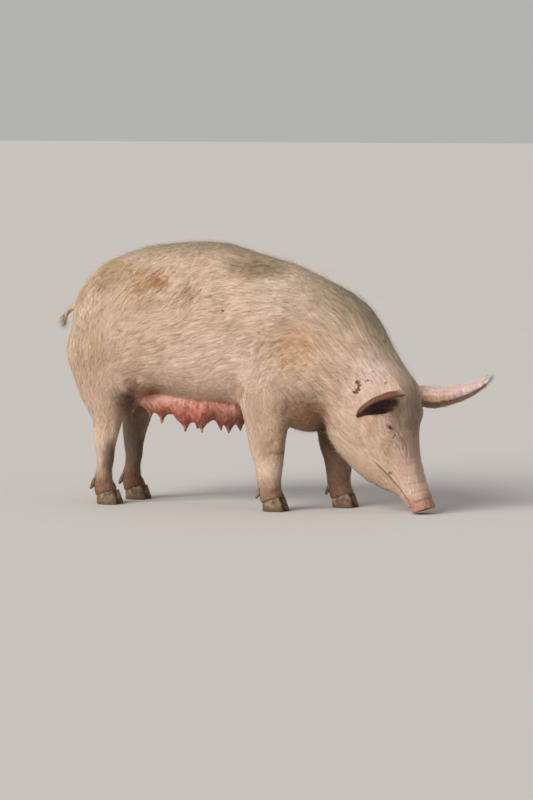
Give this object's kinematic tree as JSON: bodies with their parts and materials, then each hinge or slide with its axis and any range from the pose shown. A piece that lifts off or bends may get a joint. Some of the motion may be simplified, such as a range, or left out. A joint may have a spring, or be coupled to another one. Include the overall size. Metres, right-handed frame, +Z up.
{
  "type": "domestic pig",
  "caption": "Adult pale-haired sow standing with its head lowered to root, one ear out to the side and one forward.",
  "frame": {"origin": "on the floor, under the middle of the animal's bounding box", "axes": "+X the way the body faces, +Y its left side, +Z up"},
  "size_m": [1.5138, 0.5594, 0.8858],
  "materials": {
    "hide": "pink skin under cream bristles",
    "udder": "bare creased skin",
    "ear": "thin haired skin",
    "horn": "worn horn",
    "eye": "wet"
  },
  "bodies": {
    "root": {"claw_front_left_inner": "horn", "claw_front_left_outer": "horn", "claw_front_right_inner": "horn", "claw_front_right_outer": "horn", "claw_hind_left_inner": "horn", "claw_hind_left_outer": "horn", "claw_hind_right_inner": "horn", "claw_hind_right_outer": "horn", "dewclaw_front_left_inner": "horn", "dewclaw_front_left_outer": "horn", "dewclaw_front_right_inner": "horn", "dewclaw_front_right_outer": "horn", "dewclaw_hind_left_inner": "horn", "dewclaw_hind_left_outer": "horn", "dewclaw_hind_right_inner": "horn", "dewclaw_hind_right_outer": "horn", "ear_left": "ear", "ear_right": "ear", "eye_left": "eye", "eye_right": "eye", "head": "hide", "leg_front_left": "hide", "leg_front_right": "hide", "leg_hind_left": "hide", "leg_hind_right": "hide", "neck": "hide", "tail": "hide", "torso": "hide", "udder": "udder"}
  },
  "joints": []
}
